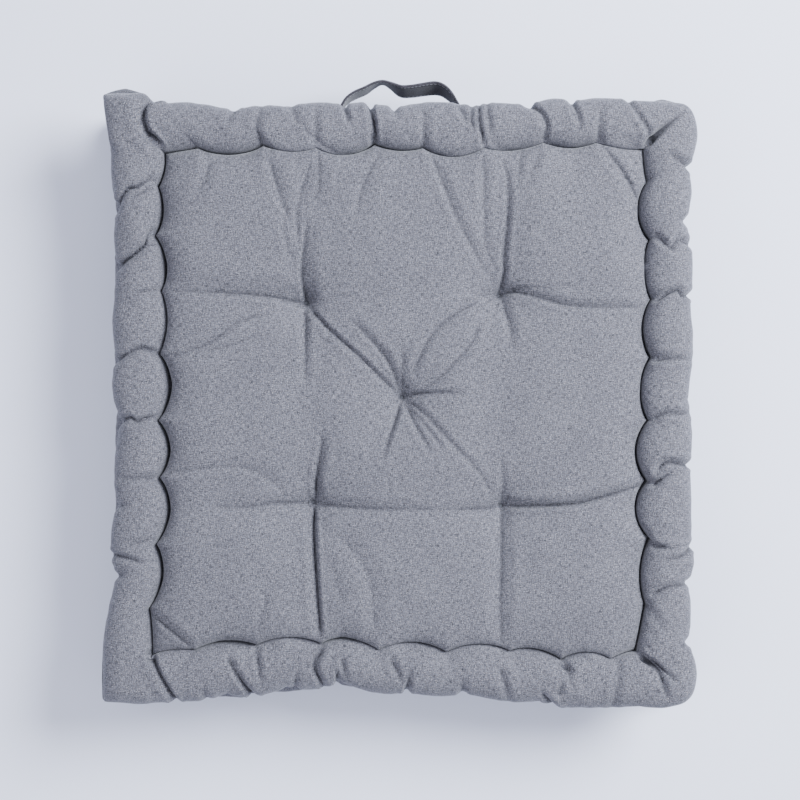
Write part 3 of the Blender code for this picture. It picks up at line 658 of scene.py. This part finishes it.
def panel_skin(lines, folds, seed):
    """The filled panel inside the roll as a grid of points, as if it faced up."""
    border = lines["edge"] - outwards(lines) * lines["gap"][:, None]
    top, right, bottom, left = four_sides(border, lines["corners"])
    width, depth = PANEL
    uu, vv = np.meshgrid(shares(width), shares(depth), indexing="ij")
    uu, vv = uu[..., None], vv[..., None]
    flat = left[0] * (1 - uu) * (1 - vv) + right[0] * uu * (1 - vv)
    flat = flat + left[-1] * (1 - uu) * vv + right[-1] * uu * vv
    near = (uu * width, (1 - uu) * width, vv * depth, (1 - vv) * depth)
    pulls = (
        (left - flat[0])[None],
        (right - flat[-1])[None],
        (bottom - flat[:, 0])[:, None],
        (top - flat[:, -1])[:, None],
    )
    flat = flat + sum(pull * np.exp(-away / EDGE_REACH) for pull, away in zip(pulls, near))
    full = np.prod([shoulder(distance[..., 0]) for distance in near], 0)
    spots = flat.reshape(-1, 2)
    sharp, broad = np.zeros((2, len(spots)))
    pressed, painted_shade = press(spots, folds, FOLD_SCALE)
    for place, deep, spread in TUFTS:
        away = np.hypot(*(spots - place).T)
        sharp = np.maximum(sharp, deep * np.exp(-((away / spread) ** 0.8)))
        broad = broad + BROAD_DIP * bell(away / BROAD_SPREAD)
        # painted shade: a dark spot in the colour round each tie
        painted_shade = np.maximum(painted_shade, bell(away / TIE_SHADE))
    puff = uneven(*spots.T, PANEL_BUMPS, seed + 2)
    change = puff - sharp - broad - pressed - sag(spots)
    closeness = [np.exp(-distance[..., 0] / LEVEL_REACH) for distance in near]
    top, right, bottom, left = four_sides(lines["trough"], lines["corners"])
    sides = (left[None], right[None], bottom[:, None], top[:, None])
    level = sum(weight * side for weight, side in zip(closeness, sides)) / sum(closeness)
    height = level + (CROWN + 0.5 - level) * full
    height = height + change.reshape(height.shape) * full**2
    height[1:-1, 1:-1] = np.maximum(height[1:-1, 1:-1], TROUGH + 0.5)
    # the third cloth value is the shade painted in the folds and round the ties
    cloth = np.concatenate([flat, painted_shade.reshape(height.shape)[..., None] / MM], -1)
    return np.concatenate([flat, height[..., None]], -1), cloth


def sag(xy):
    """Soft wide valleys where the filling is drawn down between two tufts."""
    depth = np.zeros(len(xy))
    for deep, width, start, end in VALLEYS:
        start, end = np.array(start, float), np.array(end, float)
        along = (end - start) / np.hypot(*(end - start))
        t = np.clip((xy - start) @ along, 0, np.hypot(*(end - start)))
        away = np.hypot(*(xy - start - t[:, None] * along).T)
        depth = np.maximum(depth, deep * bell(away / width))
    return depth


# ---- meshes
def grid_faces(columns, rows, start=0, wrap=False):
    """Quads between the points of a grid, which are numbered column by column from start."""
    i = np.arange(columns if wrap else columns - 1)[:, None]
    j = np.arange(rows - 1)[None]
    n = (i + 1) % columns
    quads = np.stack([i * rows + j, n * rows + j, n * rows + j + 1, i * rows + j + 1], -1)
    return start + quads.reshape(-1, 4)


def add_object(name, data):
    """A new object in the scene."""
    piece = bpy.data.objects.new(name, data)
    bpy.context.scene.collection.objects.link(piece)
    return piece


def make_mesh(name, points, faces, cloth, material):
    """points and cloth coordinates in millimetres; the object is placed on the CAD's centre."""
    mesh = bpy.data.meshes.new(name)
    world = np.array(points, float)
    world[:, :2] += CENTRE
    world *= MM
    mesh.vertices.add(len(world))
    mesh.vertices.foreach_set("co", world.astype(np.float32).ravel())
    faces = np.asarray(faces, np.int32)
    mesh.loops.add(faces.size)
    mesh.loops.foreach_set("vertex_index", faces.ravel())
    mesh.polygons.add(len(faces))
    mesh.polygons.foreach_set("loop_start", np.arange(0, faces.size, 4, dtype=np.int32))
    mesh.polygons.foreach_set("loop_total", np.full(len(faces), 4, np.int32))
    mesh.update(calc_edges=True)
    mesh.validate()
    # the weave attribute: cloth coordinates, and third the painted shade that darkens the colour in
    # folds
    weave = mesh.attributes.new("weave", "FLOAT_VECTOR", "POINT")
    flat = np.zeros((len(world), 3), np.float32)
    flat[:, : cloth.shape[-1]] = cloth.reshape(len(world), -1) * MM
    weave.data.foreach_set("vector", flat.ravel())
    mesh.shade_smooth()
    mesh.materials.append(material)
    return add_object(name, mesh)


def tube(name, points, radius, material, closed=False):
    """A round thread along points in millimetres."""
    curve = bpy.data.curves.new(name, "CURVE")
    curve.dimensions = "3D"
    curve.bevel_depth = radius * MM
    curve.bevel_resolution = 2
    curve.use_fill_caps = not closed
    spline = curve.splines.new("POLY")
    spline.points.add(len(points) - 1)
    for place, (x, y, z) in zip(spline.points, points):
        place.co = ((x + CENTRE[0]) * MM, (y + CENTRE[1]) * MM, z * MM, 1)
    spline.use_cyclic_u = closed
    curve.materials.append(material)
    return add_object(name, curve)


# ---- materials
def rgb(r, g, b):
    """Linear colour of an sRGB value from 0 to 255."""
    return tuple(
        (c / 255 / 12.92 if c <= 10 else ((c / 255 + 0.055) / 1.055) ** 2.4) for c in (r, g, b)
    ) + (1.0,)


class Nodes:
    """Short calls for building a material's node tree."""

    def __init__(self, name):
        self.material = bpy.data.materials.new(name)
        self.material.use_nodes = True
        self.tree = self.material.node_tree
        self.shader = self.tree.nodes["Principled BSDF"]

    def add(self, kind, inputs=None, **settings):
        node = self.tree.nodes.new(kind)
        for key, value in settings.items():
            setattr(node, key, value)
        for key, value in (inputs or {}).items():
            self.put(node, key, value)
        return node

    def put(self, node, key, value):
        if isinstance(value, bpy.types.NodeSocket):
            self.tree.links.new(value, node.inputs[key])
        else:
            node.inputs[key].default_value = value

    def math(self, operation, a, b=0.0):
        return self.add("ShaderNodeMath", {0: a, 1: b}, operation=operation).outputs[0]

    def sum(self, value, share, rest):
        """value * share + rest"""
        return self.math("ADD", self.math("MULTIPLY", value, share), rest)

    def noise(self, vector, scale, detail=2.0, rough=0.5):
        stretched = self.add("ShaderNodeVectorMath", {0: vector, 1: scale}, operation="MULTIPLY")
        values = {"Vector": stretched.outputs[0], "Scale": 1.0, "Detail": detail, "Roughness": rough}
        return self.add("ShaderNodeTexNoise", values).outputs["Fac"]

    def ramp(self, value, *stops):
        node = self.add("ShaderNodeValToRGB", {"Fac": value})
        elements = node.color_ramp.elements
        while len(elements) < len(stops):
            elements.new(0.5)
        for element, (place, colour) in zip(elements, stops):
            element.position, element.color = place, colour
        return node.outputs["Color"]

    def mix(self, factor, a, b, blend="MIX"):
        node = self.add("ShaderNodeMix", {0: factor, 6: a, 7: b}, data_type="RGBA", blend_type=blend)
        return node.outputs[2]

    def finish(self, colour, rough, others, height, bump, relief=0.6 * MM):
        """Joins the values to the shader, with a bump from height, and returns the material."""
        values = {"Strength": bump, "Distance": relief, "Height": height}
        normal = self.add("ShaderNodeBump", values).outputs["Normal"]
        values = {"Base Color": colour, "Roughness": rough, "Normal": normal, **others}
        for key, value in values.items():
            self.put(self.shader, key, value)
        return self.material


ALONG_YARN, ACROSS_YARN = 230, 1350  # scales of the noise that makes the yarns, per metre


def halfway(a, b):
    """The colour between two colours."""
    return tuple((p + q) / 2 for p, q in zip(a, b))


def woven(name, dark, light, fleck, bump=0.35):
    """Plain weave of uneven yarns: streaks along both directions of the cloth, and slubs.

    The weave attribute holds the cloth's coordinates and, third, the shade painted into the colour
    inside its folds.
    """
    n = Nodes(name)
    weave = n.add("ShaderNodeAttribute", attribute_name="weave").outputs["Vector"]
    split = n.add("ShaderNodeSeparateXYZ", {0: weave})
    cloth = n.add("ShaderNodeCombineXYZ", {0: split.outputs[0], 1: split.outputs[1]}).outputs[0]
    weft = n.noise(cloth, (ALONG_YARN, ACROSS_YARN, 1), 2.0, 0.6)
    warp = n.noise(cloth, (ACROSS_YARN, ALONG_YARN, 1), 2.0, 0.6)
    fine = n.noise(cloth, (1700, 1700, 1), 1.0)
    patch = n.noise(cloth, (24, 24, 1), 2.0)
    yarn = n.sum(weft, 0.5, n.math("MULTIPLY", warp, 0.5))
    grain = n.sum(yarn, 0.78, n.math("MULTIPLY", fine, 0.22))
    colour = n.ramp(grain, (0.38, dark), (0.50, halfway(dark, light)), (0.605, light))
    slub = n.ramp(n.noise(cloth, (950, 1500, 1), 1.0), (0.61, (0, 0, 0, 1)), (0.69, (1, 1, 1, 1)))
    colour = n.mix(n.math("MULTIPLY", slub, 0.52), colour, fleck)
    shade = n.ramp(patch, (0.3, (0.93, 0.93, 0.935, 1)), (0.7, (1.04, 1.04, 1.035, 1)))
    colour = n.mix(1.0, colour, shade, "MULTIPLY")
    tint = n.noise(cloth, (900, 900, 1), 1.0)
    hue = n.ramp(tint, (0.35, (0.96, 0.995, 1.07, 1)), (0.65, (1.05, 0.99, 0.965, 1)))
    colour = n.mix(1.0, colour, hue, "MULTIPLY")
    # painted shade: darkens the colour inside folds and pleats, round the ties and beside the strap's
    # stitches
    inside = n.ramp(split.outputs[2], (0.0, (1, 1, 1, 1)), (1.0, (0.22, 0.22, 0.24, 1)))
    colour = n.mix(1.0, colour, inside, "MULTIPLY")
    sheen = {"Sheen Weight": 0.25, "Sheen Roughness": 0.5, "Sheen Tint": (0.85, 0.88, 0.95, 1)}
    return n.finish(colour, n.sum(grain, 0.25, 0.74), {"Specular IOR Level": 0.25, **sheen}, grain, bump)


def spun(name, dark, light):
    """Twisted thread."""
    n = Nodes(name)
    place = n.add("ShaderNodeTexCoord").outputs["Object"]
    grain = n.noise(place, (1500, 1500, 1500), 2.0)
    colour = n.ramp(grain, (0.35, dark), (0.65, light))
    return n.finish(colour, n.sum(grain, 0.3, 0.55), {}, grain, 0.4, 0.4 * MM)


COVER = woven("cover_weave_painted_fold_shade", rgb(32, 33, 39), rgb(112, 113, 123), rgb(188, 189, 196))
# the strap is the cover's cloth in darker colours: partly a darker tone of its own, partly painted shade
# for its upright faces, which light from above leaves in shade
STRAP = woven("strap_weave_painted_shade", rgb(28, 27, 32), rgb(66, 64, 72), rgb(96, 94, 104), 0.5)
THREAD = spun("thread", rgb(60, 62, 70), rgb(96, 99, 108))
THREAD_PALE = spun("pale_thread", rgb(120, 120, 130), rgb(150, 150, 160))


# ---- build the cover
def mirrored(lists):
    """The same edge seen in a mirror, so that the underside isn't a copy of the top."""
    result = {"left": lists["right"], "right": lists["left"]}
    for side in ("top", "bottom"):
        places, outs, swells = zip(*lists[side])
        turned = zip([-p for p in reversed(places)], reversed(outs), [*reversed(swells[:-1]), 0])
        result[side] = list(turned)
    return result


def mirrored_folds(folds, strength=0.7):
    """Folds in the same mirror, softer."""
    return [
        (start * strength, end * strength, right, left, [(-x, y) for x, y in points])
        for start, end, left, right, points in folds
    ]


def show(piece, replaced):
    """Ties a finished piece of the cushion to the frame."""
    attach(piece, "cushion")
    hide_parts(*replaced)


def cover_piece(name, points, cloth, replaced, wrap=False, flip=False):
    """A piece of the cover from part of a grid."""
    faces = grid_faces(*points.shape[:2], wrap=wrap)
    if flip:
        faces = faces[:, ::-1]
    piece = make_mesh(name, points.reshape(-1, 3), faces, cloth, COVER)
    show(piece, replaced)


upper, lower = ring_lines(INNER, OUTER), ring_lines(mirrored(INNER), mirrored(OUTER))
skin, skin_cloth, (upper_seam, lower_seam) = ring_skin(
    upper, lower, ROLL_PLEATS, mirrored_folds(ROLL_PLEATS), seed=3
)
panel, panel_cloth = panel_skin(upper, PANEL_FOLDS + gathers(31), seed=3)
low_folds = mirrored_folds(PANEL_FOLDS + gathers(37))
under, under_cloth = panel_skin(lower, low_folds, seed=23)
under[..., 2] = HEIGHT - under[..., 2]
low = under[..., 2] < FLOOR_EASE
under[low, 2] = FLOOR_EASE * np.exp((under[low, 2] - FLOOR_EASE) / FLOOR_EASE)

rows = slice(None, upper_seam + 1)
cover_piece("cover_top", panel, panel_cloth, ["top_panel", "filling"])
cover_piece("roll_top", skin[:, rows], skin_cloth[:, rows], ["top_panel"], wrap=True, flip=True)
rows = slice(lower_seam, None)
cover_piece("cover_bottom", under, under_cloth, ["bottom_panel"], flip=True)
cover_piece("roll_bottom", skin[:, rows], skin_cloth[:, rows], ["bottom_panel"], wrap=True, flip=True)
rows = slice(upper_seam, lower_seam + 1)
for k, side in enumerate(SIDES):
    first, last = upper["corners"][k], [*upper["corners"], len(skin)][k + 1]
    columns = np.arange(first, last + 1) % len(skin)
    name = f"band_{SIDE_NODES[side]}"
    points, cloth = skin[columns][:, rows], skin_cloth[columns][:, rows]
    cover_piece(name, points, cloth, [f"side_{name}"], flip=True)


# ---- seams, ties and stitches
SEAM_RADIUS, STITCH_RADIUS, TIE_RADIUS, BOX_RADIUS = 0.45, 0.5, 1.3, 0.4
SEAM_DEPTH = 0.1  # how far a seam's thread is sunk below the cloth


def thread(name, line, radius, node, closed=False):
    """A dark thread along a line, in place of one of the CAD's nodes."""
    show(tube(name, line, radius, THREAD, closed), [node])


sunk_skin = skin - ring_normals(skin) * SEAM_DEPTH
for name, row in (("top", upper_seam), ("bottom", lower_seam)):
    thread(f"{name}_seam", sunk_skin[::2, row], SEAM_RADIUS, f"{name}_seam_thread", closed=True)
for k, corner in enumerate(("back_left", "back_right", "front_right", "front_left")):
    line = skin[upper["corners"][k], rows]
    thread(f"corner_{corner}", line, STITCH_RADIUS, f"corner_seam_{corner}")


def near_tuft(grid, place):
    """Heights of the cloth where a tie goes through it."""
    return grid[..., 2][np.hypot(grid[..., 0] - place[0], grid[..., 1] - place[1]) < 3]


TIE_NODES = ("centre", "back_left", "back_right", "front_left", "front_right")
for node, (place, _, _) in zip(TIE_NODES, TUFTS):
    heights = np.linspace(near_tuft(under, place).max() - 1, near_tuft(panel, place).min() + 1.2, 12)
    thread(f"tie_{node}", [(*place, z) for z in heights], TIE_RADIUS, f"tuft_tie_{node}")

for k, side in enumerate(SIDES):
    for part, lines, level in (("top", upper, TROUGH + 1), ("bottom", lower, HEIGHT - TROUGH - 1)):
        first, last = lines["corners"][k], [*lines["corners"], len(skin)][k + 1]
        edge = lines["edge"][first + 4 : last - 4 : 3]
        line = [(x, y, level + 0.8 * math.sin(n * 2.1)) for n, (x, y) in enumerate(edge)]
        node = f"{part}_roll_stitching_{SIDE_NODES[side]}"
        thread(f"{part}_stitches_{side}", line, STITCH_RADIUS, node)


# ---- the handle
STRAP_WIDTH = (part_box("handle_end_left")[1].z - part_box("handle_end_left")[0].z) / MM
STRAP_THICK = 2.4
STITCH_EDGE = 2.4  # from the strap's edge to its row of stitches
STITCH_STEP = 3.3  # from one stitch of a row to the next
LOOP_SPAN, LOOP_REACH = 98.0, 21.0
LOOP_SHIFT = 1.4  # how far the loop stands to the right of the middle
TAB_RUN, TAB_LENGTH = 12.0, 26.0  # from the loop in to the wall, and along the wall
TAB_DROP = 12.5  # how far the sewn ends lie behind the hinge, against the wall
# The loop's line: shares of its span and of its reach, and its lean outwards in degrees
LOOP = [
    (-0.500, 0.00, 0),
    (-0.455, 0.30, 3),
    (-0.385, 0.52, 6),
    (-0.300, 0.70, 6),
    (-0.225, 0.92, 2),
    (-0.150, 1.04, -2),
    (-0.075, 0.90, 4),
    (0.010, 0.68, 14),
    (0.100, 0.68, 16),
    (0.200, 0.75, 17),
    (0.300, 0.80, 18),
    (0.370, 0.70, 14),
    (0.425, 0.48, 9),
    (0.470, 0.22, 3),
    (0.500, 0.00, 0),
]


def strap_line():
    """(x, y, lean) of the strap's middle line, from the tip of one sewn end to the other."""
    half = LOOP_SPAN / 2
    loop = [(x * LOOP_SPAN * 1.04 + LOOP_SHIFT, y * LOOP_REACH, lean) for x, y, lean in LOOP]
    tab = [(half + TAB_RUN + TAB_LENGTH * share, -TAB_DROP, 0) for share in (1, 0.75, 0.5, 0.25, 0)]
    tab += [(half + TAB_RUN * run, -TAB_DROP * drop, 0) for run, drop in ((0.7, 0.9), (0.35, 0.58))]
    points = [(-x, y, lean) for x, y, lean in tab] + loop + tab[::-1]
    return smooth_line(points, step=1.2)


def strap_frames():
    """For each place on the strap: its middle, the ways across it and out of it, how far along."""
    line = strap_line()
    frames = []
    for k, (x, y, lean) in enumerate(line):
        ahead, behind = line[min(k + 1, len(line) - 1)], line[max(k - 1, 0)]
        along = np.array([ahead[0] - behind[0], ahead[1] - behind[1]])
        along = along / np.hypot(*along)
        outward = np.array([-along[1], along[0], 0]) * (1 if along[0] > 0 else -1)
        angle = math.radians(lean)
        up = outward * math.sin(angle) + np.array([0, 0, math.cos(angle)])
        face = outward * math.cos(angle) - np.array([0, 0, math.sin(angle)])
        frames.append((np.array([x, y + PIVOT[1] - CENTRE[1], PIVOT[2]]), up, face))
    middle, up, face = (np.array(part) for part in zip(*frames))
    run = np.cumsum(np.linalg.norm(np.diff(middle, axis=0, prepend=middle[:1]), axis=1))
    return middle, up, face, run


def strap_mesh():
    """The strap: folded cloth with rounded edges, drawn in along its two rows of stitches."""
    middle, up, face, run = strap_frames()
    half_w, half_t = STRAP_WIDTH / 2, STRAP_THICK / 2
    turn = half_t * (1 - np.cos(np.linspace(0, np.pi / 2, 5)))
    flat = np.linspace(-half_w + 1.8, half_w - 1.8, 24)
    across = np.concatenate([turn - half_w, flat, half_w - turn[::-1]])
    past = np.maximum(np.abs(across) - half_w + half_t, 0) / half_t
    thick = half_t * np.sqrt(unit(1 - past**2))
    thick = thick - 0.4 * bell((np.abs(across) - half_w + STITCH_EDGE) / 0.8)
    front = np.column_stack([across, thick])
    back = np.column_stack([across, -thick])[::-1][1:-1]
    outline = np.concatenate([front, back, front[:1]])
    grid = middle[:, None] + outline[None, :, :1] * up[:, None] + outline[None, :, 1:] * face[:, None]
    from_crease = np.abs(outline[:, 0]) - half_w + STITCH_EDGE + 1  # just inside the stitches
    cloth = np.zeros((*grid.shape[:2], 3))
    cloth[..., 0] = run[:, None]
    cloth[..., 1] = outline[:, 0] + 40 * (outline[:, 1] < 0)
    # painted shade along the crease just inside each row of stitches
    cloth[..., 2] = 0.35 / MM * bell(from_crease / 0.9)
    return make_mesh("strap", grid.reshape(-1, 3), grid_faces(*grid.shape[:2]), cloth, STRAP)


def strap_stitches():
    """Small stitches in two rows along each face of the strap."""
    middle, up, face, run = strap_frames()
    points, faces = [], []
    for place in np.arange(2.5, run[-1] - 2.5, STITCH_STEP):
        spots = place + np.array([-1.25, -0.8, 0, 0.8, 1.25])
        mid, rise, out = (
            np.stack([np.interp(spots, run, part[:, c]) for c in range(3)], -1)
            for part in (middle, up, face)
        )
        for side in (-1, 1):
            for edge in (-1, 1):
                first = len(points)
                for k, swell in enumerate((0.12, 0.28, 0.34, 0.28, 0.12)):
                    centre = mid[k] + rise[k] * edge * (STRAP_WIDTH / 2 - STITCH_EDGE)
                    centre = centre + out[k] * side * (STRAP_THICK / 2 - 0.35 + 0.5 * swell)
                    for angle in np.linspace(0, 2 * np.pi, 7):
                        points.append(
                            centre + swell * (math.cos(angle) * rise[k] + math.sin(angle) * out[k])
                        )
                faces.append(grid_faces(5, 7, first))
    points = np.array(points)
    return make_mesh("strap_stitches", points, np.concatenate(faces), points[:, :2], THREAD_PALE)


strap, stitches = strap_mesh(), strap_stitches()
for piece in (strap, stitches):
    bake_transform(piece)
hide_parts("handle_loop", "handle_end_left", "handle_end_right")


def box_stitches(side):
    """The sewn box with its cross on one end of the strap."""
    middle = side * (LOOP_SPAN / 2 + TAB_RUN + TAB_LENGTH / 2)
    half_x, half_z = TAB_LENGTH / 2 - 3, STRAP_WIDTH / 2 - 3
    y = PIVOT[1] - CENTRE[1] - TAB_DROP + STRAP_THICK / 2 + 0.15
    corners = [(-1, -1), (1, -1), (1, 1), (-1, 1), (-1, -1), (1, 1), (1, -1), (-1, 1)]
    return [(middle + a * half_x, y, PIVOT[2] + b * half_z) for a, b in corners]


for name, side in (("left", -1), ("right", 1)):
    thread(f"box_stitches_{name}", box_stitches(side), BOX_RADIUS, f"handle_stitching_{name}")

# ---- floor, light and camera
FLOOR_HALF = 6.0  # metres
floor_mesh = bpy.data.meshes.new("floor")
corners = [(FLOOR_HALF * x, FLOOR_HALF * y, 0) for x, y in ((-1, -1), (1, -1), (1, 1), (-1, 1))]
floor_mesh.from_pydata(corners, [], [(0, 1, 2, 3)])
floor = add_object("floor", floor_mesh)
floor.location.z = -0.5 * MM
paper = Nodes("paper")
paper.put(paper.shader, "Base Color", rgb(228, 234, 255))
paper.put(paper.shader, "Roughness", 0.9)
floor_mesh.materials.append(paper.material)


def area_light(name, place, size, power, colour):
    """A round lamp that faces the middle of the floor; metres and watts."""
    light = bpy.data.lights.new(name, "AREA")
    light.shape = "DISK"
    light.size = size
    light.energy = power
    light.color = colour
    lamp = add_object(name, light)
    lamp.location = place
    lamp.rotation_euler = (-Vector(place)).to_track_quat("-Z", "Y").to_euler()


area_light("key", (1.4, 0.8, 1.55), 1.3, 149, (0.94, 0.97, 1))
area_light("fill", (-1.2, -0.9, 1.9), 2.0, 22, (0.95, 0.96, 1))
world = bpy.data.worlds.new("studio")
bpy.context.scene.world = world
world.use_nodes = True
sky = world.node_tree.nodes["Background"].inputs
sky["Color"].default_value = (0.88, 0.89, 1.0, 1)
sky["Strength"].default_value = 0.93

CAMERA_HEIGHT = 1.9
CAMERA_SHIFT = (0.0013, -0.0004)  # lines the view up with the photograph's
VIEW_WIDTH = 0.6864  # of the plane halfway up the roll
SENSOR = 36
camera = bpy.data.cameras.new("camera")
camera.sensor_width = SENSOR
camera.lens = SENSOR * (CAMERA_HEIGHT - SEAM_Z * MM) / VIEW_WIDTH
camera_object = add_object("camera", camera)
camera_object.location = (CAMERA_SHIFT[0], CENTRE[1] * MM + CAMERA_SHIFT[1], CAMERA_HEIGHT)
bpy.context.scene.camera = camera_object
